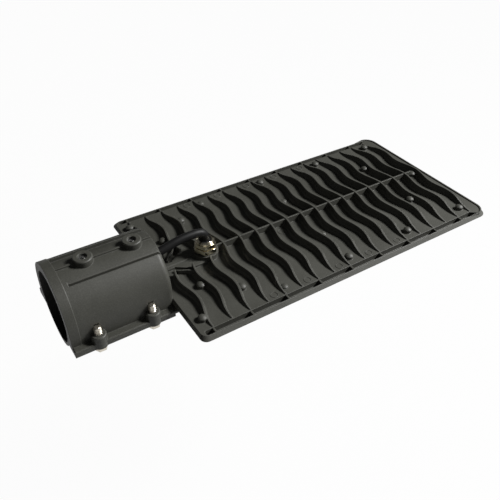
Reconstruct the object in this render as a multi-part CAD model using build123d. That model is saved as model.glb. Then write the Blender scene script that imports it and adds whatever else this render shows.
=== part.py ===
from build123d import *
import math
import os

# A finned LED street light head, in millimetres.
# The origin is on the pole's axis at the mouth of the socket. +X runs from the mouth along the
# head, +Z is up, and the head is symmetric about the plane Y = 0.

# Pole socket
pole_radius = 30.0
pole_clearance = 1.5
pole_depth = 78.0
socket_wall = 4.5
socket_length = 91.5
stop_step = 4.5
collar_step = 2.9
side_step = 2.4
collar_length = 8.0
bead_inner = 16.9
bead_outer = 18.6
bead_height = 2.0
groove_outer = 20.6
groove_start = 12.0
panel_drop = 1.0
spine_width = 2.0
spine_height = 0.8
end_round = 5.0

# Set screws in the top of the socket
set_screw_x = [31.5, 74.0]
set_screw_depth = [2.0, 2.6]
set_screw_radius = 4.0
set_screw_length = 6.0
set_screw_key = 4.0
set_screw_key_depth = 3.0
set_boss_radius = 8.3
set_boss_top = 40.2
thread_clearance = 0.05

# Flange, lower saddle and their bolts
split_z = -16.6
flange_thick = 3.0
flange_half_width = 45.0
flange_edge = 0.8
ear_thick = 3.0
saddle_wall = 3.2
saddle_gap = 0.4
saddle_rib_thick = 3.0
saddle_rib_spread = 45.0
bolt_x = [22.0, 69.5]
bolt_y = 40.5
bolt_spots = [(x, bolt_y) for x in bolt_x]
bolt_radius = 3.0
bolt_length = 20.0
bolt_head_flats = 10.0
bolt_head_height = 4.0
bolt_hole_clearance = 0.3
bolt_tip_chamfer = 0.8
bolt_boss_radius = 6.5
bolt_boss_top = -7.2
bolt_relief_top = 1.5
boss_edge = 0.8

# Plate
plate_start = 88.7
plate_end = 431.5
plate_half_width = 93.2
plate_waist_z = -10.0
floor_z = -6.5
floor_start = 90.5
floor_end = 428.5
floor_half_width = 90.0
bottom_z = -19.6
bottom_start = 93.6
bottom_end = 424.0
bottom_half_width = 84.6
socket_corner = 6.0
far_corner = 11.0
rim_start = 418.0
rim_thick = 1.5
rim_lap = 0.2
rim_height = 1.0
rim_sink = 1.6

# Trough along each side of the plate
trough_inner = 84.2
trough_outer = 89.4
trough_depth = 5.6
trough_start = 94.0
trough_end = 411.5
trough_slant = 7.5
trough_corner = 2.0
cross_rib_thick = 1.6
cross_rib_step = 2
cross_rib_shift = -2.6

# Wavy fins
fin_count = 18
fin_pitch = 18.25
first_fin_x = 105.1
wave_height = 2.4
wave_length = 52.0
wave_steps = 8
fin_foot_half = 2.8
fin_waist_half = 1.5
fin_waist_height = 1.6
fin_tip_half = 0.8
fin_reach = 83.2
fin_knee = 62.0
fin_middle_height = 7.5
fin_knee_height = 5.0
fin_end_height = 0.8
fin_end_taper = 0.3
fin_sink = 1.0
parted_fins = 2

# Centre rib and the raised pad between socket and gland
centre_rib_half = 0.8
centre_rib_height = 6.9
centre_rib_end = 409.6
pad_height = 2.5
pad_rib_height = 0.6
pad_neck_half = 4.0
pad_neck_x = 110.0
pad_wide_half = 12.0
pad_wide_x = 121.0

# Blind screw pillars
pillar_radius = 3.9
pillar_height = 4.8
pillar_dome = 5.2
earth_pillar_height = 3.7
bump_radius = 3.2
bump_height = 2.0
bump_spots = [(180.5, 75.0), (257.0, 33.0)]
frame_screw_spots = [(99.5, 72.0), (255.0, 74.5), (331.5, 74.0), (407.0, 74.0), (413.0, 0.0)]
board_screw_spots = [(118.0, 36.5), (147.5, 57.0), (373.5, 36.0)]
earth_screw_x = 127.0

# Lamp chamber under the plate
floor_thick = 3.0
chamber_start = 111.0
chamber_end = 401.0
chamber_half_width = 63.5
chamber_corner = 8.0
gasket_width = 5.0
gasket_thick = 1.0
lens_plate_thick = 2.0
lens_clearance = 0.5
frame_start = 95.2
frame_end = 420.5
frame_half_width = 80.0
frame_corner = 6.0
frame_thick = 2.0
frame_clearance = 0.3
frame_overlap = 3.5

# Circuit board
pad_sheet_thick = 0.5
board_thick = 1.6
board_clearance = 1.5
notch_start = 119.0
notch_end = 153.5
notch_half_width = 11.0
notch_corner = 4.0
led_rows = 4
led_columns = 7
led_pitch = 24.5
led_first_x = 214.0
led_side = 5.0
led_height = 0.8
dome_radius = 9.0
dome_height = 4.5

# Driver parts on the board
regulator_count = 4
regulator_x = 192.0
regulator_length = 6.5
regulator_width = 9.0
regulator_height = 2.3
rectifier_x = 178.0
rectifier_y = 30.0
rectifier_side = 9.0
rectifier_corner = 2.2
rectifier_height = 2.6
varistor_x = 165.0
varistor_y = -24.0
varistor_radius = 5.0
varistor_height = 3.2
fuse_x = 165.0
fuse_y = 24.0
fuse_radius = 1.5
fuse_length = 10.0
fuse_foot = 0.4
block_x = 166.0
block_length = 10.0
block_width = 16.0
block_height = 3.8
block_entry_depth = 5.0
block_entry_pitch = 7.0

# Screws inside and under the lamp chamber
board_screw_radius = 1.5
board_screw_reach = 7.0
board_screw_head_radius = 2.8
board_screw_head_height = 1.8
frame_screw_radius = 2.0
frame_screw_reach = 9.0
frame_screw_head_radius = 3.6
frame_screw_head_height = 2.2
screw_hole_clearance = 0.3
blind_hole_spare = 1.0
recess_radius = 1.2
recess_depth = 1.0
head_round_share = 0.5

# Cable gland
gland_x = 143.5
gland_boss_radius = 12.0
gland_boss_top = -0.4
gland_thread_radius = 8.0
gland_bore_radius = 5.0
gland_flats = 20.0
gland_hex_height = 4.5
ring_seal_thick = 1.0
ring_seal_radius = 9.6
nut_flats = 18.0
nut_hex_height = 4.0
nut_dome_height = 2.6
nut_dome_radius = 8.2
nut_dome_slope = 1.4
nut_thread_radius = 7.2
nut_wall = 1.6
nut_gap = 0.3
nut_lip = 0.6
seal_radius = 5.9
seal_clearance = 0.05
seal_length = 8.0
hex_chamfer = 1.2

# Supply cable and its cores
cable_radius = 4.0
cable_hole_clearance = 0.5
cable_route = [
    (143.5, 0.0, -1.5),
    (143.5, 0.0, 21.6),
    (119.5, 0.0, 21.9),
    (100.7, 0.0, 16.9),
    (82.5, 0.0, 12.3),
]
core_radius = 0.9
core_spread = 1.4
core_fan_x = 156.5
bend_share = 0.45
barrel_radius = 1.6
barrel_length = 5.0
ring_radius = 4.0
ring_thick = 0.8
neck_length = 3.2
barrel_drop = 0.1
earth_screw_reach = 5.5

# Values that follow from the sizes above
bore_radius = pole_radius + pole_clearance
socket_radius = bore_radius + socket_wall
side_radius = socket_radius + side_step
bead_radius = socket_radius + bead_height
panel_radius = socket_radius - panel_drop
collar_radius = socket_radius + collar_step
chamber_radius = bore_radius - stop_step
saddle_radius = bore_radius + saddle_wall
ear_z = split_z - ear_thick
saddle_length = plate_start - saddle_gap
ceiling_z = floor_z - floor_thick
frame_seat_z = bottom_z + frame_thick
lens_top_z = frame_seat_z + lens_plate_thick
gasket_top_z = lens_top_z + gasket_thick
lens_reach = gasket_width + lens_clearance
board_top_z = ceiling_z - pad_sheet_thick
board_z = board_top_z - board_thick
block_axis_z = board_z - block_height / 2
cable_end_z = cable_route[0][2]
ring_z = ceiling_z - ring_thick
barrel_z = ceiling_z - barrel_drop - barrel_radius
gland_hex_z = gland_boss_top + ring_seal_thick
nut_z = gland_hex_z + gland_hex_height + nut_gap
seal_top_z = nut_z + nut_hex_height + nut_dome_height - nut_lip
seal_z = seal_top_z - seal_length
from_base = (Align.CENTER, Align.CENTER, Align.MIN)


def rounded_plan(low_x, high_x, half_width, low_round, high_round):
    """A rectangle in plan, with one corner radius at its low end and another at its high end."""
    corners = [
        (low_x, -half_width),
        (high_x, -half_width),
        (high_x, half_width),
        (low_x, half_width),
    ]
    plan = make_face(Polyline(*corners, close=True))
    low_corners = plan.vertices().filter_by(lambda corner: corner.X < (low_x + high_x) / 2)
    plan = fillet(low_corners, low_round)
    high_corners = plan.vertices().group_by(Axis.X)[-1]
    return fillet(high_corners, high_round)


def slab(plan, low_z, high_z):
    """A flat plan made solid between two heights."""
    return extrude(Pos(0, 0, low_z) * plan, high_z - low_z, dir=(0, 0, 1))


def upright(x, y, low_z, high_z, radius):
    """A round post between two heights."""
    return Pos(x, y, low_z) * Cylinder(radius, high_z - low_z, align=from_base)


def along(low_x, high_x, radius):
    """A round bar on the pole's axis."""
    bar = Cylinder(radius, high_x - low_x, align=from_base)
    return Pos(low_x, 0, 0) * Rot(0, 90, 0) * bar


def hexagon(x, y, low_z, high_z, flats):
    """A hexagonal prism with two corners on the X axis."""
    return slab(Pos(x, y) * RegularPolygon(flats / 2, 6, major_radius=False), low_z, high_z)


def both_sides(spots):
    """Each spot and its mirror image, with a spot on the centre line taken once."""
    found = []
    for x, y in spots:
        found.append((x, -y))
        if y > 0:
            found.append((x, y))
    return found


def strip(low_y, high_y, low_z, high_z):
    """A rectangle in the socket's cross-section."""
    centre = Pos((low_y + high_y) / 2, (low_z + high_z) / 2)
    return centre * Rectangle(high_y - low_y, high_z - low_z)


# Pole socket


def socket_section(panel_half):
    """The outside of the socket above the split: upright sides, a lower top panel and its spine."""
    reach = collar_radius
    shell = Circle(side_radius) + strip(-side_radius, side_radius, split_z, 0)
    sides = shell - strip(-panel_half, panel_half, 0, reach)
    panel = Circle(panel_radius) & strip(-panel_half, panel_half, 0, reach)
    spine = Circle(socket_radius + spine_height) & strip(-spine_width / 2, spine_width / 2, 0, reach)
    return (sides + panel + spine) & strip(-reach, reach, split_z, reach)


def bead_section():
    """The two thin beads beside the grooves that part the top panel from the sides."""
    reach = collar_radius
    strips = strip(-bead_outer, -bead_inner, 0, reach) + strip(bead_inner, bead_outer, 0, reach)
    return Circle(bead_radius) & strips


def ear_plan(length):
    """The plan that the flange and the saddle's ears share, with a round bulge at each bolt."""
    plan = Pos(length / 2, 0) * Rectangle(length, 2 * flange_half_width)
    for x, y in both_sides(bolt_spots):
        plan += Pos(x, y) * Circle(bolt_boss_radius)
    return plan


def flange():
    """The flat flange along the socket's split, with its top edge broken."""
    body = slab(ear_plan(bottom_start), split_z, split_z + flange_thick)
    return chamfer(body.faces().sort_by(Axis.Z)[-1].edges(), flange_edge)


def boss(x, y, low_z, high_z, radius):
    """A round boss with its top edge broken."""
    post = upright(x, y, low_z, high_z, radius)
    return chamfer(post.faces().sort_by(Axis.Z)[-1].edges(), boss_edge)


def pole_space(length):
    """What the pole and the cable chamber behind it take out of a socket."""
    return along(0, pole_depth, bore_radius) + along(pole_depth, length - socket_wall, chamber_radius)


def above_split(body):
    """The part of a body on the housing's side of the split."""
    return split(body, bisect_by=Plane.XY.offset(split_z), keep=Keep.TOP)


def below_split(body):
    """The part of a body on the saddle's side of the split."""
    return split(body, bisect_by=Plane.XY.offset(split_z), keep=Keep.BOTTOM)


def collar_section():
    """The outside of the collar at the socket's mouth."""
    section = Circle(collar_radius) + strip(-collar_radius, collar_radius, split_z, 0)
    return section & strip(-collar_radius, collar_radius, split_z, collar_radius)


def round_end():
    """The space inside the socket's rounded far end."""
    section = Circle(side_radius) + strip(-side_radius, side_radius, -side_radius, 0)
    blank = extrude(Plane.YZ * section, socket_length)
    return fillet(blank.faces().sort_by(Axis.X)[-1].edges(), end_round)


def socket_body():
    """The upper shell of the pole socket with its collar, flange and bosses."""
    far_part = extrude(Plane.YZ * (socket_section(groove_outer) + bead_section()), socket_length)
    near_part = extrude(Plane.YZ * socket_section(bead_inner), groove_start)
    body = (far_part + near_part) & round_end()
    body += extrude(Plane.YZ * collar_section(), collar_length)
    body += flange()
    for x, y in both_sides(bolt_spots):
        body += boss(x, y, split_z, bolt_boss_top, bolt_boss_radius)
    for x in set_screw_x:
        body += boss(x, 0, bore_radius, set_boss_top, set_boss_radius)
    body -= pole_space(socket_length)
    for x, y in both_sides(bolt_spots):
        body -= upright(x, y, split_z, bolt_boss_top, bolt_radius)
        body -= upright(x, y, bolt_boss_top, bolt_relief_top, bolt_radius + bolt_hole_clearance)
    for x in set_screw_x:
        body -= upright(x, 0, 0, set_boss_top, set_screw_radius)
    return body


# Plate


def plate_body():
    """The plate's blank, widest at its waist and drawn in towards its floor and its bottom."""
    bottom = rounded_plan(bottom_start, bottom_end, bottom_half_width, socket_corner, far_corner)
    waist = rounded_plan(plate_start, plate_end, plate_half_width, socket_corner, far_corner)
    floor = rounded_plan(floor_start, floor_end, floor_half_width, socket_corner, far_corner)
    sections = [Pos(0, 0, bottom_z) * bottom, Pos(0, 0, plate_waist_z) * waist, Pos(0, 0, floor_z) * floor]
    return loft(sections, ruled=True)


def trough():
    """The groove beside the near edge, slanted at its far end and crossed by thin ribs."""
    corners = [
        (trough_start, -trough_outer),
        (trough_end + trough_slant, -trough_outer),
        (trough_end, -trough_inner),
        (trough_start, -trough_inner),
    ]
    plan = make_face(Polyline(*corners, close=True))
    plan = fillet(plan.vertices().group_by(Axis.X)[0], trough_corner)
    groove = slab(plan, floor_z - trough_depth, floor_z)
    for number in range(0, fin_count, cross_rib_step):
        rib_x = first_fin_x + cross_rib_shift + number * fin_pitch
        rib_plan = Pos(rib_x, -trough_outer) * Rectangle(cross_rib_thick, 2 * (trough_outer - trough_inner))
        groove -= slab(rib_plan, floor_z - trough_depth, floor_z)
    return groove


def wave_x(y):
    """How far a fin's centreline swings along the plate at a place across it."""
    return wave_height * math.cos(2 * math.pi * y / wave_length)


def end_share(y):
    """The share of its thickness that a fin still has at a place across it."""
    past_knee = max(0, abs(y) - fin_knee) / (fin_reach - fin_knee)
    return 1 - (1 - fin_end_taper) * past_knee


def fin_plan(half_thick):
    """The wavy outline of a fin, cut level, at one half thickness and drawn in at both ends."""
    step = wave_length / wave_steps
    count = round(2 * fin_reach / step)
    places = [-fin_reach + 2 * fin_reach * number / count for number in range(count + 1)]
    near = [(wave_x(y) - half_thick * end_share(y), y) for y in places]
    far = [(wave_x(y) + half_thick * end_share(y), y) for y in places]
    outline = [Spline(*near), Line(near[-1], far[-1]), Spline(*far), Line(near[0], far[0])]
    return make_face(outline)


def fin_crown():
    """The space below a fin's top line: highest in the middle and run out at both ends."""
    knee = (fin_knee, floor_z + fin_knee_height)
    end = (fin_reach, floor_z + fin_end_height)
    root = (fin_reach, floor_z - fin_sink)
    near_side = Polyline((0, root[1]), root, end, knee)
    top = ThreePointArc(knee, (0, floor_z + fin_middle_height), (-knee[0], knee[1]))
    profile = make_face([near_side, top, mirror(near_side, Plane.YZ)])
    return extrude(Plane.YZ * profile, wave_height + 2 * fin_foot_half, both=True)


def fin():
    """One wavy fin on a flared foot, about its own centreline."""
    levels = [
        (floor_z - fin_sink, fin_foot_half),
        (floor_z, fin_foot_half),
        (floor_z + fin_waist_height, fin_waist_half),
        (floor_z + fin_middle_height, fin_tip_half),
    ]
    sections = [Pos(0, 0, level_z) * fin_plan(half_thick) for level_z, half_thick in levels]
    return loft(sections, ruled=True) & fin_crown()


def fins():
    """All fins: the first ones are parted at the socket's pad and at the gland."""
    whole = fin()
    gap = Box(fin_pitch, 2 * pad_wide_half, 2 * fin_pitch)
    gland_space = upright(gland_x, 0, ceiling_z, gland_boss_top + fin_pitch, gland_boss_radius)
    rows = []
    for number in range(fin_count):
        place = Pos(first_fin_x + number * fin_pitch, 0, 0)
        row = whole - gap if number < parted_fins else whole
        rows.append(place * row - gland_space if number == parted_fins else place * row)
    return rows


def centre_rib():
    """The rib along the middle of the plate, beyond the gland."""
    thick = 2 * centre_rib_half
    start_x = gland_x + gland_boss_radius - fin_sink
    length = centre_rib_end - start_x
    plan = Pos(start_x + length / 2, 0) * Rectangle(length, thick)
    return slab(plan, floor_z - fin_sink, floor_z + centre_rib_height)


def socket_pad():
    """The raised pad between the socket's end wall and the gland's boss, with a low rib on it."""
    start_x = socket_length - socket_wall
    corners = [
        (start_x, -pad_neck_half),
        (pad_neck_x, -pad_neck_half),
        (pad_wide_x, -pad_wide_half),
        (gland_x, -pad_wide_half),
        (gland_x, pad_wide_half),
        (pad_wide_x, pad_wide_half),
        (pad_neck_x, pad_neck_half),
        (start_x, pad_neck_half),
    ]
    plan = make_face(Polyline(*corners, close=True))
    length = gland_x - start_x
    rib = Pos(start_x + length / 2, 0) * Rectangle(length, 2 * centre_rib_half)
    pad = slab(plan, floor_z - fin_sink, floor_z + pad_height)
    return pad + slab(rib, floor_z - fin_sink, floor_z + pad_height + pad_rib_height)


def pillar(x, y, height, radius):
    """A low round pillar with a domed top."""
    post = upright(x, y, floor_z - fin_sink, floor_z + height, radius)
    return post & Pos(x, y, floor_z + height - pillar_dome) * Sphere(pillar_dome)


def far_rim():
    """The low rim round the plate's far end."""
    out = rim_thick - rim_lap
    plan = rounded_plan(
        floor_start, floor_end + out, floor_half_width + out, socket_corner, far_corner + out
    )
    plan -= rounded_plan(
        floor_start,
        floor_end - rim_lap,
        floor_half_width - rim_lap,
        socket_corner,
        far_corner - rim_lap,
    )
    plan &= Pos(rim_start + far_corner, 0) * Rectangle(2 * far_corner, 2 * plate_half_width)
    return slab(plan, floor_z - rim_sink, floor_z + rim_height)


def lamp_chamber():
    """What the lens frame, the lens plate and the lamp chamber take out of the plate's underside."""
    frame_seat = rounded_plan(frame_start, frame_end, frame_half_width, frame_corner, frame_corner)
    space = slab(frame_seat, bottom_z, frame_seat_z)
    space += slab(chamber_plan(lens_reach), bottom_z, gasket_top_z)
    return space + slab(chamber_plan(0), bottom_z, ceiling_z)


def chamber_plan(margin):
    """The lamp chamber's outline, grown by a margin."""
    corner = chamber_corner + margin
    return rounded_plan(
        chamber_start - margin, chamber_end + margin, chamber_half_width + margin, corner, corner
    )


def cable_hole():
    """The hole in the socket's end wall, along the cable's last run."""
    start = Vector(*cable_route[-1])
    run = Vector(*cable_route[-2]) - start
    hole = Cylinder(cable_radius + cable_hole_clearance, run.length, align=from_base)
    return Plane(origin=start, z_dir=run) * hole


def housing():
    """The whole casting: socket, flange, plate, fins, ribs, pillars and gland boss."""
    body = plate_body()
    body -= trough()
    body -= mirror(trough(), Plane.XZ)
    body -= lamp_chamber()
    body += fins()
    body += centre_rib()
    body += socket_pad()
    body += upright(gland_x, 0, ceiling_z, gland_boss_top, gland_boss_radius)
    for x, y in both_sides(frame_screw_spots + board_screw_spots):
        body += pillar(x, y, pillar_height, pillar_radius)
    for x, y in both_sides(bump_spots):
        body += pillar(x, y, bump_height, bump_radius)
    body += pillar(earth_screw_x, 0, earth_pillar_height, pillar_radius)
    body += far_rim()
    for x, y in both_sides(frame_screw_spots):
        depth = frame_screw_reach + blind_hole_spare
        body -= upright(x, y, frame_seat_z, frame_seat_z + depth, frame_screw_radius)
    for x, y in both_sides(board_screw_spots):
        depth = board_screw_reach + blind_hole_spare
        body -= upright(x, y, board_z, board_z + depth, board_screw_radius)
    earth_hole_top = ring_z + earth_screw_reach + blind_hole_spare
    body -= upright(earth_screw_x, 0, ring_z, earth_hole_top, board_screw_radius)
    body += socket_body()
    body -= upright(gland_x, 0, ceiling_z, gland_boss_top, gland_thread_radius)
    return body - cable_hole()


# Saddle and fasteners of the socket


def saddle():
    """The lower half of the socket: a round shell between two bolted ears, with a cross rib."""
    body = below_split(along(0, saddle_length, saddle_radius))
    body += slab(ear_plan(saddle_length), ear_z, split_z)
    low_half = bore_radius * math.sin(math.radians(saddle_rib_spread))
    rib_corners = [
        (-flange_half_width, ear_z),
        (flange_half_width, ear_z),
        (low_half, -saddle_radius + saddle_wall),
        (-low_half, -saddle_radius + saddle_wall),
    ]
    rib = extrude(Plane.YZ * make_face(Polyline(*rib_corners, close=True)), saddle_rib_thick)
    body += Pos((sum(bolt_x) - saddle_rib_thick) / 2, 0, 0) * rib
    body -= pole_space(saddle_length)
    for x, y in both_sides(bolt_spots):
        body -= upright(x, y, ear_z, split_z, bolt_radius + bolt_hole_clearance)
    return body


def clamp_bolt(x, y):
    """A hex bolt from below, with its chamfered tip above the boss."""
    shank = upright(x, y, ear_z, ear_z + bolt_length, bolt_radius - thread_clearance)
    shank = chamfer(shank.faces().sort_by(Axis.Z)[-1].edges(), bolt_tip_chamfer)
    return shank + hexagon(x, y, ear_z - bolt_head_height, ear_z, bolt_head_flats)


def set_screw(x, below_top):
    """A socket set screw, a little below the top of its boss."""
    top_z = set_boss_top - below_top
    radius = set_screw_radius - thread_clearance
    screw = upright(x, 0, top_z - set_screw_length, top_z, radius)
    return screw - hexagon(x, 0, top_z - set_screw_key_depth, top_z, set_screw_key)


def pan_screw(x, y, seat_z, reach, radius, head_radius, head_height):
    """A pan head screw driven up from a seat, with a hex recess in its head."""
    screw = upright(x, y, seat_z, seat_z + reach, radius - thread_clearance)
    head = upright(x, y, seat_z - head_height, seat_z, head_radius)
    head = chamfer(head.faces().sort_by(Axis.Z)[0].edges(), head_height * head_round_share)
    recess_top = seat_z - head_height + recess_depth
    return screw + head - hexagon(x, y, seat_z - head_height, recess_top, 2 * recess_radius)


# Cable gland


def gland_body():
    """The gland's lower hex with its entry thread, and the thread that the nut runs on."""
    body = upright(gland_x, 0, ceiling_z, gland_hex_z, gland_thread_radius - thread_clearance)
    hex_part = hexagon(gland_x, 0, gland_hex_z, nut_z - nut_gap, gland_flats)
    body += hex_part & gland_turning(gland_hex_z, nut_z - nut_gap, gland_flats)
    body += upright(gland_x, 0, gland_hex_z, seal_top_z - nut_wall, nut_thread_radius - thread_clearance)
    body -= upright(gland_x, 0, ceiling_z, seal_top_z, gland_bore_radius)
    return body - upright(gland_x, 0, seal_z, seal_top_z, seal_radius + seal_clearance)


def gland_turning(low_z, high_z, flats):
    """A turned blank that rounds the corners of a hex of the same width across flats."""
    blank = upright(gland_x, 0, low_z, high_z, flats / math.sqrt(3))
    return chamfer(blank.edges().filter_by(GeomType.CIRCLE), hex_chamfer / 2, hex_chamfer)


def gland_o_ring():
    """The flat ring that seals the gland's hex on the boss."""
    ring = upright(gland_x, 0, gland_boss_top, gland_hex_z, ring_seal_radius)
    return ring - upright(gland_x, 0, gland_boss_top, gland_hex_z, gland_thread_radius)


def gland_seal():
    """The rubber sleeve round the cable, seen in the mouth of the nut."""
    sleeve = upright(gland_x, 0, seal_z, seal_top_z, seal_radius)
    return sleeve - upright(gland_x, 0, seal_z, seal_top_z, cable_radius + seal_clearance)


def gland_nut():
    """The nut: a hex with a round crown whose mouth shows the seal."""
    hex_top = nut_z + nut_hex_height
    body = hexagon(gland_x, 0, nut_z, hex_top, nut_flats) & gland_turning(nut_z, hex_top, nut_flats)
    crown = upright(gland_x, 0, nut_z, hex_top + nut_dome_height, nut_dome_radius)
    body += chamfer(crown.faces().sort_by(Axis.Z)[-1].edges(), nut_dome_slope)
    body -= upright(gland_x, 0, nut_z, seal_top_z - nut_wall, nut_thread_radius)
    return body - upright(gland_x, 0, nut_z, hex_top + nut_dome_height, seal_radius + seal_clearance)


# Cable and its cores


def tube(route, radius, name):
    """A round tube along straight runs joined by tangent arcs, each as large as its runs allow."""
    points = [Vector(*point) for point in route]
    runs = [after - before for before, after in zip(points, points[1:])]
    bends = []
    for before, after in zip(runs, runs[1:]):
        half_turn = math.radians(before.get_angle(after)) / 2
        bends.append(bend_share * min(before.length, after.length) / math.tan(half_turn))
    path = FilletPolyline(*points, radius=bends)
    print(name, "radii", [round(bend, 1) for bend in bends], "length", round(path.length, 1))
    return sweep(path.location_at(0) * Circle(radius), path)


def power_cable():
    """The supply cable from the chamber behind the pole, through the end wall, into the gland."""
    return tube(cable_route, cable_radius, "power_cable")


def core(side, name):
    """The live or neutral core, from the cable's end down and along into the terminal block."""
    start_x = gland_x + core_spread / 2
    start_y = side * core_spread * math.sqrt(3) / 2
    entry_y = side * block_entry_pitch / 2
    end_x = block_x - block_length / 2 + block_entry_depth - seal_clearance
    route = [
        (start_x, start_y, cable_end_z),
        (start_x, start_y, block_axis_z),
        (core_fan_x, entry_y, block_axis_z),
        (end_x, entry_y, block_axis_z),
    ]
    return tube(route, core_radius, name)


def earth_core():
    """The earth core, from the cable's end down and back into the ring terminal's barrel."""
    start_x = gland_x - core_spread
    route = [
        (start_x, 0, cable_end_z),
        (start_x, 0, barrel_z),
        (start_x + barrel_z - cable_end_z, 0, barrel_z),
    ]
    return tube(route, core_radius, "earth_lead")


def earth_terminal():
    """The ring terminal: a flat ring and a barrel for the core."""
    body = upright(earth_screw_x, 0, ring_z, ceiling_z, ring_radius)
    barrel_start = earth_screw_x + ring_radius - ring_thick
    neck = Pos(barrel_start + ring_thick, 0) * Rectangle(neck_length, 2 * barrel_radius)
    body += slab(neck, ring_z, ceiling_z)
    body += Pos(0, 0, barrel_z) * along(barrel_start, barrel_start + barrel_length, barrel_radius)
    body -= Pos(0, 0, barrel_z) * along(
        barrel_start, barrel_start + barrel_length, core_radius + seal_clearance
    )
    body &= upright(earth_screw_x, 0, barrel_z - ring_radius, ceiling_z, 2 * ring_radius + barrel_length)
    return body - upright(earth_screw_x, 0, ring_z, ceiling_z, board_screw_radius + screw_hole_clearance)


# Lamp chamber


def board_plan(hole_radius):
    """The outline of the circuit board with its notch for the gland and its screw holes."""
    plan = chamber_plan(-board_clearance)
    notch_centre = Pos((notch_start + notch_end) / 2, 0)
    plan -= notch_centre * RectangleRounded(notch_end - notch_start, 2 * notch_half_width, notch_corner)
    for x, y in both_sides(board_screw_spots):
        plan -= Pos(x, y) * Circle(hole_radius)
    return plan


def on_board(x, y, length, width, height):
    """A rectangular part soldered under the board."""
    return slab(Pos(x, y) * Rectangle(length, width), board_z - height, board_z)


def led_spots():
    """The places of the LEDs and of the lens domes in front of them."""
    first_y = -led_pitch * (led_rows - 1) / 2
    return [
        (led_first_x + column * led_pitch, first_y + row * led_pitch)
        for column in range(led_columns)
        for row in range(led_rows)
    ]


def lens_plate():
    """The clear plate with one dome in front of each LED."""
    plate = slab(chamber_plan(lens_reach - lens_clearance), frame_seat_z, lens_top_z)
    ball_radius = (dome_radius**2 + dome_height**2) / (2 * dome_height)
    ball = Pos(0, 0, frame_seat_z - dome_height + ball_radius) * Sphere(ball_radius)
    dome = split(ball, bisect_by=Plane.XY.offset(frame_seat_z), keep=Keep.BOTTOM)
    return plate + [Pos(x, y, 0) * dome for x, y in led_spots()]


def lens_gasket():
    """The silicone ring between the chamber's ledge and the lens plate."""
    plan = chamber_plan(lens_reach - lens_clearance) - chamber_plan(0)
    return slab(plan, lens_top_z, gasket_top_z)


def lens_frame():
    """The flat frame that holds the lens plate, screwed on all round."""
    outer_half = frame_half_width - frame_clearance
    plan = rounded_plan(
        frame_start + frame_clearance, frame_end - frame_clearance, outer_half, frame_corner, frame_corner
    )
    plan -= chamber_plan(-frame_overlap)
    for x, y in both_sides(frame_screw_spots):
        plan -= Pos(x, y) * Circle(frame_screw_radius + screw_hole_clearance)
    return slab(plan, bottom_z, frame_seat_z)


def terminal_block():
    """The two-way block with a round entry for each core."""
    body = on_board(block_x, 0, block_length, block_width, block_height)
    entry_start = block_x - block_length / 2
    for side in (-1, 1):
        entry = along(entry_start, entry_start + block_entry_depth, core_radius + seal_clearance)
        body -= Pos(0, side * block_entry_pitch / 2, block_axis_z) * entry
        screw_x = entry_start + block_entry_depth
        screw_y = side * block_entry_pitch / 2
        low_z = board_z - block_height
        body -= upright(screw_x, screw_y, low_z, low_z + recess_depth, recess_radius)
    return body


def fuse():
    """A round fuse with two square end caps that stand on the board."""
    axis_z = board_z - fuse_radius - fuse_foot
    barrel = Cylinder(fuse_radius, fuse_length)
    body = Pos(fuse_x, fuse_y, axis_z) * Rot(90, 0, 0) * barrel
    cap_side = 2 * (fuse_radius + fuse_foot)
    cap_y = (fuse_length - fuse_radius) / 2
    for side in (-1, 1):
        body += on_board(fuse_x, fuse_y + side * cap_y, cap_side, fuse_radius, cap_side)
    return body


def rectifier():
    """The bridge rectifier, with the corner that marks its polarity cut off."""
    body = on_board(rectifier_x, rectifier_y, rectifier_side, rectifier_side, rectifier_height)
    return chamfer(body.edges().filter_by(Axis.Z).sort_by(Axis.X)[0], rectifier_corner)


def regulators():
    """The current regulators in a row across the board."""
    first_y = -led_pitch * (regulator_count - 1) / 2
    places = [first_y + number * led_pitch for number in range(regulator_count)]
    return [on_board(regulator_x, y, regulator_length, regulator_width, regulator_height) for y in places]


def board_screw(x, y):
    """A screw that holds the board against the ceiling of the chamber."""
    return pan_screw(
        x,
        y,
        board_z,
        board_screw_reach,
        board_screw_radius,
        board_screw_head_radius,
        board_screw_head_height,
    )


def frame_screw(x, y):
    """A screw that holds the lens frame in its seat."""
    return pan_screw(
        x,
        y,
        bottom_z,
        frame_screw_reach + frame_thick,
        frame_screw_radius,
        frame_screw_head_radius,
        frame_screw_head_height,
    )


def earth_screw():
    """The screw that presses the ring terminal onto bare casting."""
    return pan_screw(
        earth_screw_x,
        0,
        ring_z,
        earth_screw_reach,
        board_screw_radius,
        board_screw_head_radius,
        board_screw_head_height,
    )


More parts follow.
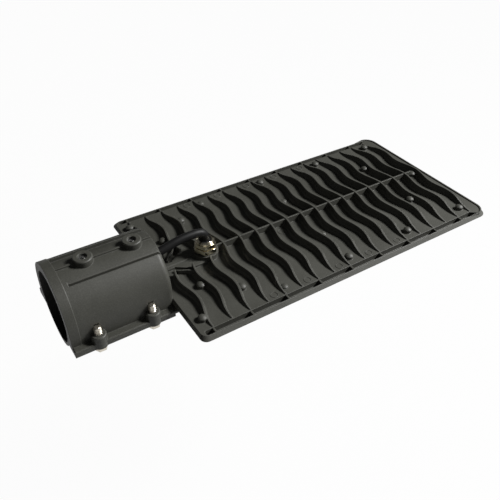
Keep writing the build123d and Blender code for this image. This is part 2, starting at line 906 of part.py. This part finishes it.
def pieces():
    """Every piece of the lamp head, by name."""
    board_hole = board_screw_radius + screw_hole_clearance
    return {
        "housing": housing(),
        "pole_clamp": saddle(),
        "clamp_bolts": [clamp_bolt(x, y) for x, y in both_sides(bolt_spots)],
        "set_screws": [set_screw(x, depth) for x, depth in zip(set_screw_x, set_screw_depth)],
        "gland_body": gland_body(),
        "gland_o_ring": gland_o_ring(),
        "gland_seal": gland_seal(),
        "gland_nut": gland_nut(),
        "power_cable": power_cable(),
        "live_lead": core(-1, "live_lead"),
        "neutral_lead": core(1, "neutral_lead"),
        "earth_lead": earth_core(),
        "earth_terminal": earth_terminal(),
        "earth_screw": earth_screw(),
        "thermal_pad": slab(board_plan(board_hole + screw_hole_clearance), board_top_z, ceiling_z),
        "led_board": slab(board_plan(board_hole), board_z, board_top_z),
        "led_chips": [on_board(x, y, led_side, led_side, led_height) for x, y in led_spots()],
        "driver_chips": regulators(),
        "bridge_rectifier": rectifier(),
        "varistor": upright(varistor_x, varistor_y, board_z - varistor_height, board_z, varistor_radius),
        "fuse": fuse(),
        "terminal_block": terminal_block(),
        "board_screws": [board_screw(x, y) for x, y in both_sides(board_screw_spots)],
        "lens_plate": lens_plate(),
        "lens_gasket": lens_gasket(),
        "lens_frame": lens_frame(),
        "frame_screws": [frame_screw(x, y) for x, y in both_sides(frame_screw_spots)],
    }


os.makedirs("parts", exist_ok=True)
for name, piece in pieces().items():
    shape = Compound(children=piece) if isinstance(piece, list) else piece
    export_step(shape, "parts/" + name + ".step")
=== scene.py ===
import math

import bpy
from mathutils import Matrix, Vector


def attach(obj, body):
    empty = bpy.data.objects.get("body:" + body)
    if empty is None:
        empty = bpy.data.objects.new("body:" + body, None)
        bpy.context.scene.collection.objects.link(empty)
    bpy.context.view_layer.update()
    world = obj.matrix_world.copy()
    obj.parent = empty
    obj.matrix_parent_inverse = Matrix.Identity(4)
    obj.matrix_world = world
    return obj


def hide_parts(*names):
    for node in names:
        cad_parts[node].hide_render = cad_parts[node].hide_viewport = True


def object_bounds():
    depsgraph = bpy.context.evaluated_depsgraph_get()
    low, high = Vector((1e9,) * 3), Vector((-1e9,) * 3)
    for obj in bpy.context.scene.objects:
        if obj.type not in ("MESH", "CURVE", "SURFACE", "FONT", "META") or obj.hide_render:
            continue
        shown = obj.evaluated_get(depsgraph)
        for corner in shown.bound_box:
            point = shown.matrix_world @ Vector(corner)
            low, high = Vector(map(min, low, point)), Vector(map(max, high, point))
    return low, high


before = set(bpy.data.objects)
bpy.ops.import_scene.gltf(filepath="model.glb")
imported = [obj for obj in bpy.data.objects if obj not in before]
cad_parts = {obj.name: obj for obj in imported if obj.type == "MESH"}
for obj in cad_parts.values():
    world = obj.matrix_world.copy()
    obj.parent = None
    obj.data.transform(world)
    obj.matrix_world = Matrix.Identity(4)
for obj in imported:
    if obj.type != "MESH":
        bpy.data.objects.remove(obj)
cad_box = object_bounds()
MM = 0.001

# Sizes of the solids that the scene follows, in millimetres. PLATE_Z is the plate between the fins.
CABLE_RADIUS = 4.0
BORE_RADIUS = 31.5
BORE_END = 87.0
BORE_MARGIN = 0.2
PLATE_Z = -6.5

# Ring pieces, in millimetres: the places as x, y, z and radius, the cross-section as out and up
RING_SIDES = 40
PIN_X = (166.6, 203.1, 239.6, 276.1, 312.6)
PIN_MARKS = [(x, y, PLATE_Z, 3.3) for x in PIN_X for y in (-79.0, 79.0)]
PIN_MARKS.append((225.1, -9.0, PLATE_Z, 4.0))
MARK_SECTION = [(-0.35, -0.1), (-0.18, 0.35), (0.18, 0.35), (0.35, -0.1)]
BOLT_PLACES = [(x, y) for x in (22.0, 69.5) for y in (-40.5, 40.5)]
BOLT_CRESTS = (-6.4, -5.4, -4.4, -3.4, -2.4, -1.4)
BOLT_RADIUS = 2.95
BOLT_SECTION = [(-0.05, -0.4), (-0.05, 0.4), (0.28, 0.06), (0.28, -0.06)]
HOLE_X = (31.5, 74.0)
HOLE_CRESTS = (38.6, 39.6)
HOLE_RADIUS = 4.0
HOLE_SECTION = [(0.05, -0.4), (-0.4, -0.06), (-0.4, 0.06), (0.05, 0.4)]

# The run-outs of the far rim, in millimetres: where each starts and ends, and its sections across
# and up at both places
RUN_OUT_X = (405.0, 418.4)
RUN_OUT_START = [(89.4, -8.1), (90.0, -8.1), (90.0, -6.5), (89.4, -6.5)]
RUN_OUT_END = [(89.8, -8.1), (91.3, -8.1), (91.3, -5.5), (89.8, -5.5)]

# The low ribs beside the pad: places along the rib and across it, and the top's height there
PAD_RIB_LINE = [
    (107.5, 7.5, -4.0),
    (110.0, 11.0, -2.8),
    (116.3, 14.8, -2.2),
    (120.4, 19.0, -1.4),
    (121.2, 25.0, -0.4),
]
PAD_RIB_HALF = 0.75
PAD_RIB_FOOT = -7.0

# Camera, solved from the photograph's perspective: place in millimetres, near clip in metres
CAMERA_PLACE = (-55.0, -366.5, 337.4)
CAMERA_FORWARD = (0.4356, 0.6421, -0.6309)
CAMERA_RIGHT = (0.8371, -0.5467, 0.0216)
CAMERA_LENS = 41.475
CAMERA_SENSOR = 36.0
CAMERA_CLIP = 0.01

# The cable's route, in millimetres
CABLE_ROUTE = [
    (143.5, 0.0, -1.5),
    (143.5, 0.0, 6.0),
    (143.5, 0.0, 21.6),
    (119.5, 0.0, 21.9),
    (100.7, 0.0, 16.9),
    (82.5, 0.0, 12.3),
]

# The studio floor below the lowest point of the head, in metres, and how white it looks to the
# camera and in mirror images
FLOOR_DROP = 0.35
FLOOR_HALF = 6.0
FLOOR_GREY = 0.40
WHITE_SHARE = 0.97
MIRROR_SHARE = 0.6

# Lights: the even sky's strength, then place, aim, size and power, in metres and watts
SKY_STRENGTH = 0.05
KEY_LIGHT = ((1.38, -0.52, 1.17), (0.25, 0.0, 0.0), 0.40, 62.0)
FILL_LIGHT = ((-0.5, -1.1, 0.7), (0.1, 0.0, 0.0), 0.9, 1.0)

# Rounded edges in the shading: rays for each, and the turn of the normal from flat to sharp
EDGE_SAMPLES = 6
EDGE_SPAN = (1.0, 0.75)

# Paint of the casting: two clouded tones, specks, paler sharp edges and painted shade inside the
# bore
PAINT_DARK = (0.035, 0.035, 0.029)
PAINT_PALE = (0.044, 0.044, 0.037)
PAINT_SPECK = (0.078, 0.078, 0.068)
PAINT_EDGE = (0.080, 0.080, 0.072)
# Painted shade: near black on the bore's walls inside the pole socket, where shade falls
PAINT_BORE_SHADE = (0.006, 0.006, 0.005)


# Materials


class Shade:
    """A short way to build one node material, in the object's own coordinates."""

    def __init__(self, name):
        self.material = bpy.data.materials.new(name)
        self.material.use_nodes = True
        self.nodes = self.material.node_tree.nodes
        self.links = self.material.node_tree.links
        self.shader = self.nodes["Principled BSDF"]
        self.place = self.nodes.new("ShaderNodeTexCoord").outputs["Object"]

    def set(self, **values):
        """Sets uniform values on the shader's own sockets."""
        for name, value in values.items():
            self.shader.inputs[name.replace("_", " ")].default_value = value
        return self

    def noise(self, scale, detail, roughness):
        """A noise pattern, about 0.5 on average."""
        node = self.nodes.new("ShaderNodeTexNoise")
        node.inputs["Scale"].default_value = scale
        node.inputs["Detail"].default_value = detail
        node.inputs["Roughness"].default_value = roughness
        self.links.new(self.place, node.inputs["Vector"])
        return node.outputs["Fac"]

    def ramp(self, source, span, values):
        """Maps a range of the source onto a range of values."""
        node = self.nodes.new("ShaderNodeMapRange")
        node.inputs["From Min"].default_value, node.inputs["From Max"].default_value = span
        node.inputs["To Min"].default_value, node.inputs["To Max"].default_value = values
        self.links.new(source, node.inputs["Value"])
        return node.outputs["Result"]

    def mix(self, factor, first, second):
        """Mixes two colours or colour outputs."""
        node = self.nodes.new("ShaderNodeMix")
        node.data_type = "RGBA"
        self.links.new(factor, node.inputs["Factor"])
        for socket, value in zip((node.inputs[6], node.inputs[7]), (first, second)):
            if isinstance(value, tuple):
                socket.default_value = (*value, 1.0)
            else:
                self.links.new(value, socket)
        return node.outputs[2]

    def bump(self, source, strength, distance, normal=None):
        """A fine relief from a pattern, over another normal where one is given."""
        node = self.nodes.new("ShaderNodeBump")
        node.inputs["Strength"].default_value = strength
        node.inputs["Distance"].default_value = distance
        self.links.new(source, node.inputs["Height"])
        if normal is not None:
            self.links.new(normal, node.inputs["Normal"])
        return node.outputs["Normal"]

    def edge(self, radius):
        """How far edges are rounded, 0 on flats and 1 on sharp edges, and the rounded normal."""
        bevel = self.nodes.new("ShaderNodeBevel")
        bevel.inputs["Radius"].default_value = radius
        bevel.samples = EDGE_SAMPLES
        geometry = self.nodes.new("ShaderNodeNewGeometry")
        dot = self.nodes.new("ShaderNodeVectorMath")
        dot.operation = "DOT_PRODUCT"
        self.links.new(bevel.outputs["Normal"], dot.inputs[0])
        self.links.new(geometry.outputs["Normal"], dot.inputs[1])
        return self.ramp(dot.outputs["Value"], EDGE_SPAN, (0.0, 1.0)), bevel.outputs["Normal"]

    def compute(self, operation, first, second):
        """One arithmetic step on two outputs or numbers."""
        node = self.nodes.new("ShaderNodeMath")
        node.operation = operation
        for socket, value in zip(node.inputs, (first, second)):
            if isinstance(value, float):
                socket.default_value = value
            else:
                self.links.new(value, socket)
        return node.outputs["Value"]

    def bore_shade_mask(self):
        """1 on the walls inside the pole socket, where shade is painted, 0 everywhere else."""
        split = self.nodes.new("ShaderNodeSeparateXYZ")
        self.links.new(self.place, split.inputs[0])
        squares = [
            self.compute("POWER", self.compute("ABSOLUTE", split.outputs[axis], 0.0), 2.0)
            for axis in "YZ"
        ]
        radius = self.compute("SQRT", self.compute("ADD", *squares), 0.0)
        near_axis = self.compute("LESS_THAN", radius, (BORE_RADIUS + BORE_MARGIN) * MM)
        before_end = self.compute("LESS_THAN", split.outputs["X"], (BORE_END + BORE_MARGIN) * MM)
        return self.compute("MULTIPLY", near_axis, before_end)

    def link(self, source, name):
        """Feeds an output into one of the shader's sockets."""
        self.links.new(source, self.shader.inputs[name])


def scaled(colour, share):
    """A colour made darker or paler by one share."""
    return tuple(share * channel for channel in colour)


def powder_coat():
    """Fine textured charcoal paint on a casting, a little paler on sharp edges, with painted shade
    inside the bore.
    """
    shade = Shade("powder_coat").set(Specular_IOR_Level=0.36)
    grain = shade.noise(scale=1100.0, detail=3.0, roughness=0.65)
    cloud = shade.noise(scale=26.0, detail=5.0, roughness=0.55)
    edge, normal = shade.edge(radius=0.0007)
    tone = shade.mix(shade.ramp(cloud, (0.35, 0.7), (0.0, 1.0)), PAINT_DARK, PAINT_PALE)
    speck = shade.mix(shade.ramp(grain, (0.45, 0.70), (0.0, 0.5)), tone, PAINT_SPECK)
    # Paler colour on sharp edges, from the bevel's edge mask
    edge_tone = shade.mix(edge, speck, PAINT_EDGE)
    # Painted shade: the walls inside the bore are coloured near black
    colour_with_bore_shade = shade.mix(shade.bore_shade_mask(), edge_tone, PAINT_BORE_SHADE)
    shade.link(colour_with_bore_shade, "Base Color")
    shade.link(shade.ramp(cloud, (0.3, 0.7), (0.48, 0.58)), "Roughness")
    shade.link(shade.bump(grain, strength=0.50, distance=0.00016, normal=normal), "Normal")
    return shade.material


def bright_metal(name, colour, roughness):
    """Plated or bare metal with fine tool marks and faint cloudiness."""
    shade = Shade(name).set(Metallic=1.0)
    cloud = shade.noise(scale=160.0, detail=4.0, roughness=0.6)
    grain = shade.noise(scale=900.0, detail=2.0, roughness=0.5)
    normal = shade.edge(radius=0.0004)[1]
    tone = shade.mix(shade.ramp(cloud, (0.35, 0.75), (0.0, 0.6)), colour, scaled(colour, 0.72))
    shade.link(tone, "Base Color")
    shade.link(shade.ramp(cloud, (0.3, 0.75), (roughness, roughness + 0.12)), "Roughness")
    shade.link(shade.bump(grain, strength=0.12, distance=0.00006, normal=normal), "Normal")
    return shade.material


def rubber(name, colour, roughness):
    """Matt rubber or cable sheath with a fine skin."""
    shade = Shade(name).set(Specular_IOR_Level=0.22)
    skin = shade.noise(scale=700.0, detail=4.0, roughness=0.6)
    cloud = shade.noise(scale=60.0, detail=3.0, roughness=0.5)
    tone = shade.mix(shade.ramp(cloud, (0.35, 0.7), (0.0, 1.0)), colour, scaled(colour, 1.7))
    shade.link(tone, "Base Color")
    shade.link(shade.ramp(skin, (0.3, 0.7), (roughness - 0.05, roughness + 0.1)), "Roughness")
    shade.link(shade.bump(skin, strength=0.25, distance=0.00008), "Normal")
    return shade.material


def moulded(name, colour, roughness):
    """Moulded plastic, solder mask or epoxy with a slight texture."""
    shade = Shade(name)
    grain = shade.noise(scale=1200.0, detail=3.0, roughness=0.5)
    cloud = shade.noise(scale=90.0, detail=3.0, roughness=0.5)
    tone = shade.mix(shade.ramp(cloud, (0.35, 0.7), (0.0, 1.0)), colour, scaled(colour, 0.85))
    shade.link(tone, "Base Color")
    shade.link(shade.ramp(grain, (0.3, 0.7), (roughness, roughness + 0.1)), "Roughness")
    shade.link(shade.bump(grain, strength=0.15, distance=0.00005), "Normal")
    return shade.material


def clear_lens():
    """Clear moulded polycarbonate with a faintly uneven skin."""
    shade = Shade("clear_lens").set(IOR=1.58, Transmission_Weight=1.0)
    shade.set(Base_Color=(0.93, 0.95, 0.96, 1.0))
    ripple = shade.noise(scale=140.0, detail=2.0, roughness=0.5)
    shade.link(shade.ramp(ripple, (0.3, 0.7), (0.04, 0.09)), "Roughness")
    shade.link(shade.bump(ripple, strength=0.05, distance=0.0001), "Normal")
    return shade.material


def dress(node, material):
    """Gives one CAD node its material."""
    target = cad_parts[node]
    target.data.materials.clear()
    target.data.materials.append(material)


coat = powder_coat()
nickel = bright_metal("nickel_plate", (0.92, 0.85, 0.66), 0.12)
zinc = bright_metal("zinc_plate", (0.78, 0.73, 0.63), 0.26)
steel = bright_metal("bright_steel", (0.66, 0.66, 0.65), 0.26)
tin = bright_metal("tinned_brass", (0.74, 0.72, 0.66), 0.28)
seal = rubber("seal_rubber", (0.010, 0.010, 0.010), 0.55)
sheath = rubber("cable_sheath", (0.004, 0.004, 0.004), 0.5)
clear = clear_lens()

FINISHES = {
    "housing": coat,
    "pole_clamp": coat,
    "lens_frame": coat,
    "clamp_bolts": zinc,
    "set_screws": steel,
    "earth_screw": steel,
    "board_screws": steel,
    "frame_screws": steel,
    "gland_body": nickel,
    "gland_nut": nickel,
    "gland_o_ring": seal,
    "gland_seal": seal,
    "power_cable": sheath,
    "live_lead": moulded("brown_insulation", (0.16, 0.06, 0.03), 0.35),
    "neutral_lead": moulded("blue_insulation", (0.02, 0.10, 0.42), 0.35),
    "earth_lead": moulded("green_insulation", (0.10, 0.36, 0.04), 0.35),
    "earth_terminal": tin,
    "thermal_pad": rubber("heat_sheet", (0.28, 0.29, 0.31), 0.6),
    "led_board": moulded("white_solder_mask", (0.80, 0.81, 0.79), 0.32),
    "led_chips": moulded("phosphor", (0.82, 0.66, 0.12), 0.45),
    "driver_chips": moulded("black_epoxy", (0.015, 0.015, 0.016), 0.5),
    "bridge_rectifier": moulded("rectifier_epoxy", (0.018, 0.018, 0.018), 0.5),
    "varistor": moulded("varistor_coat", (0.02, 0.09, 0.30), 0.3),
    "fuse": moulded("fuse_ceramic", (0.72, 0.69, 0.62), 0.3),
    "terminal_block": moulded("terminal_housing", (0.75, 0.75, 0.73), 0.4),
    "lens_plate": clear,
    "lens_gasket": rubber("silicone", (0.40, 0.40, 0.39), 0.5),
}
for node, material in FINISHES.items():
    dress(node, material)


# Ejector pin marks and threads


def rings(name, places, section, material):
    """Closed rings of one cross-section round upright axes, as one piece."""
    corners = []
    faces = []
    for x, y, z, radius in places:
        first = len(corners)
        for side in range(RING_SIDES):
            turn = 2 * math.pi * side / RING_SIDES
            for out, up in section:
                reach = radius + out
                place = (x + reach * math.cos(turn), y + reach * math.sin(turn), z + up)
                corners.append([MM * value for value in place])
            here = first + side * len(section)
            there = first + (side + 1) % RING_SIDES * len(section)
            for step in range(len(section)):
                along = (step + 1) % len(section)
                faces.append((here + along, there + along, there + step, here + step))
    mesh = bpy.data.meshes.new(name)
    mesh.from_pydata(corners, [], faces)
    mesh.materials.append(material)
    piece = bpy.data.objects.new(name, mesh)
    bpy.context.collection.objects.link(piece)
    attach(piece, "root")


bolt_crests = [(x, y, z, BOLT_RADIUS) for x, y in BOLT_PLACES for z in BOLT_CRESTS]
hole_crests = [(x, 0.0, z, HOLE_RADIUS) for x in HOLE_X for z in HOLE_CRESTS]
rings("pin_marks", PIN_MARKS, MARK_SECTION, coat)
rings("bolt_threads", bolt_crests, BOLT_SECTION, zinc)
rings("hole_threads", hole_crests, HOLE_SECTION, coat)


# Run-outs of the far rim and the ribs beside the pad


def strip(name, sections, side):
    """A thin closed strip through a row of sections, on one side of the plate."""
    corners = [(MM * x, MM * side * y, MM * z) for section in sections for x, y, z in section]
    count = len(sections[0])
    last = len(corners) - count
    faces = [tuple(range(count)), tuple(range(len(corners) - 1, last - 1, -1))]
    for first in range(0, last, count):
        for step in range(count):
            along = (step + 1) % count
            faces.append((first + step, first + count + step, first + count + along, first + along))
    if side > 0:
        faces = [face[::-1] for face in faces]
    mesh = bpy.data.meshes.new(name)
    mesh.from_pydata(corners, [], faces)
    mesh.materials.append(coat)
    piece = bpy.data.objects.new(name, mesh)
    bpy.context.collection.objects.link(piece)
    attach(piece, "root")


def pad_rib_sections():
    """The pad rib's sections: each stands square to the rib's first and last places."""
    first, last = PAD_RIB_LINE[0], PAD_RIB_LINE[-1]
    run = Vector((last[0] - first[0], last[1] - first[1])).normalized()
    out_x, out_y = -run.y * PAD_RIB_HALF, run.x * PAD_RIB_HALF
    sections = []
    for x, y, top in PAD_RIB_LINE:
        left = (x + out_x, y + out_y)
        right = (x - out_x, y - out_y)
        sections.append([(*left, PAD_RIB_FOOT), (*left, top), (*right, top), (*right, PAD_RIB_FOOT)])
    return sections


run_out_sections = [
    [(x, y, z) for y, z in section] for x, section in zip(RUN_OUT_X, (RUN_OUT_START, RUN_OUT_END))
]
for side, word in ((-1, "near"), (1, "far")):
    strip(word + "_run_out", run_out_sections, side)
    strip(word + "_pad_rib", pad_rib_sections(), side)


# Cable


def smooth_cord(name, points, radius, material):
    """A round cord on one smooth spline, from control points in millimetres."""
    curve = bpy.data.curves.new(name, "CURVE")
    curve.dimensions = "3D"
    curve.bevel_depth = radius * MM
    curve.bevel_resolution = 6
    curve.resolution_u = 24
    curve.use_fill_caps = True
    spline = curve.splines.new("NURBS")
    spline.points.add(len(points) - 1)
    for point, place in zip(spline.points, points):
        point.co = (*(MM * value for value in place), 1.0)
    spline.order_u = 3
    spline.use_endpoint_u = True
    curve.materials.append(material)
    piece = bpy.data.objects.new(name, curve)
    bpy.context.collection.objects.link(piece)
    return piece


cable = smooth_cord("supply_cable", CABLE_ROUTE, CABLE_RADIUS, sheath)
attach(cable, "root")
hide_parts("power_cable")


# Floor, light and camera


def backdrop():
    """A pale floor that reads as white paper and still keeps the object's shadow."""
    low = cad_box[0][2] - FLOOR_DROP
    mesh = bpy.data.meshes.new("floor")
    signs = ((-1, -1), (1, -1), (1, 1), (-1, 1))
    corners = [(FLOOR_HALF * across, FLOOR_HALF * along, low) for across, along in signs]
    mesh.from_pydata(corners, [], [(0, 1, 2, 3)])
    floor = bpy.data.objects.new("floor", mesh)
    bpy.context.collection.objects.link(floor)
    shade = Shade("paper").set(Roughness=0.9, Base_Color=(FLOOR_GREY, FLOOR_GREY, FLOOR_GREY, 1.0))
    tree = shade.material.node_tree
    rays = tree.nodes.new("ShaderNodeLightPath")
    glow = tree.nodes.new("ShaderNodeEmission")
    glow.inputs["Strength"].default_value = 1.0
    blend = tree.nodes.new("ShaderNodeMixShader")
    mirrored = shade.compute("MULTIPLY", rays.outputs["Is Glossy Ray"], MIRROR_SHARE)
    seen = shade.compute("MAXIMUM", rays.outputs["Is Camera Ray"], mirrored)
    tree.links.new(shade.compute("MULTIPLY", seen, WHITE_SHARE), blend.inputs["Fac"])
    tree.links.new(shade.shader.outputs["BSDF"], blend.inputs[1])
    tree.links.new(glow.outputs["Emission"], blend.inputs[2])
    output = tree.nodes["Material Output"]
    tree.links.new(blend.outputs["Shader"], output.inputs["Surface"])
    mesh.materials.append(shade.material)


def sky(strength):
    """An even world light that the camera sees as white."""
    world = bpy.data.worlds.new("sky")
    world.use_nodes = True
    tree = world.node_tree
    light = tree.nodes["Background"]
    light.inputs["Color"].default_value = (1.0, 1.0, 1.0, 1.0)
    light.inputs["Strength"].default_value = strength
    white = tree.nodes.new("ShaderNodeBackground")
    white.inputs["Strength"].default_value = 1.0
    rays = tree.nodes.new("ShaderNodeLightPath")
    blend = tree.nodes.new("ShaderNodeMixShader")
    tree.links.new(rays.outputs["Is Camera Ray"], blend.inputs["Fac"])
    tree.links.new(light.outputs["Background"], blend.inputs[1])
    tree.links.new(white.outputs["Background"], blend.inputs[2])
    tree.links.new(blend.outputs["Shader"], tree.nodes["World Output"].inputs["Surface"])
    bpy.context.scene.world = world


def softbox(name, place, target, size, power):
    """A square area light, in metres, aimed at a point."""
    data = bpy.data.lights.new(name, "AREA")
    data.shape = "SQUARE"
    data.size = size
    data.energy = power
    lamp = bpy.data.objects.new(name, data)
    lamp.location = place
    aim = Vector(target) - Vector(place)
    lamp.rotation_euler = aim.to_track_quat("-Z", "Y").to_euler()
    bpy.context.collection.objects.link(lamp)


def camera():
    """The photograph's camera."""
    forward = Vector(CAMERA_FORWARD).normalized()
    right = Vector(CAMERA_RIGHT).normalized()
    up = right.cross(forward)
    turn = Matrix((right, up, -forward)).transposed().to_4x4()
    data = bpy.data.cameras.new("camera")
    data.sensor_width = CAMERA_SENSOR
    data.lens = CAMERA_LENS
    data.clip_start = CAMERA_CLIP
    eye = bpy.data.objects.new("camera", data)
    eye.matrix_world = Matrix.Translation(MM * Vector(CAMERA_PLACE)) @ turn
    bpy.context.collection.objects.link(eye)
    bpy.context.scene.camera = eye


backdrop()
sky(SKY_STRENGTH)
softbox("key", *KEY_LIGHT)
softbox("fill", *FILL_LIGHT)
camera()
bpy.context.scene.view_settings.view_transform = "Standard"
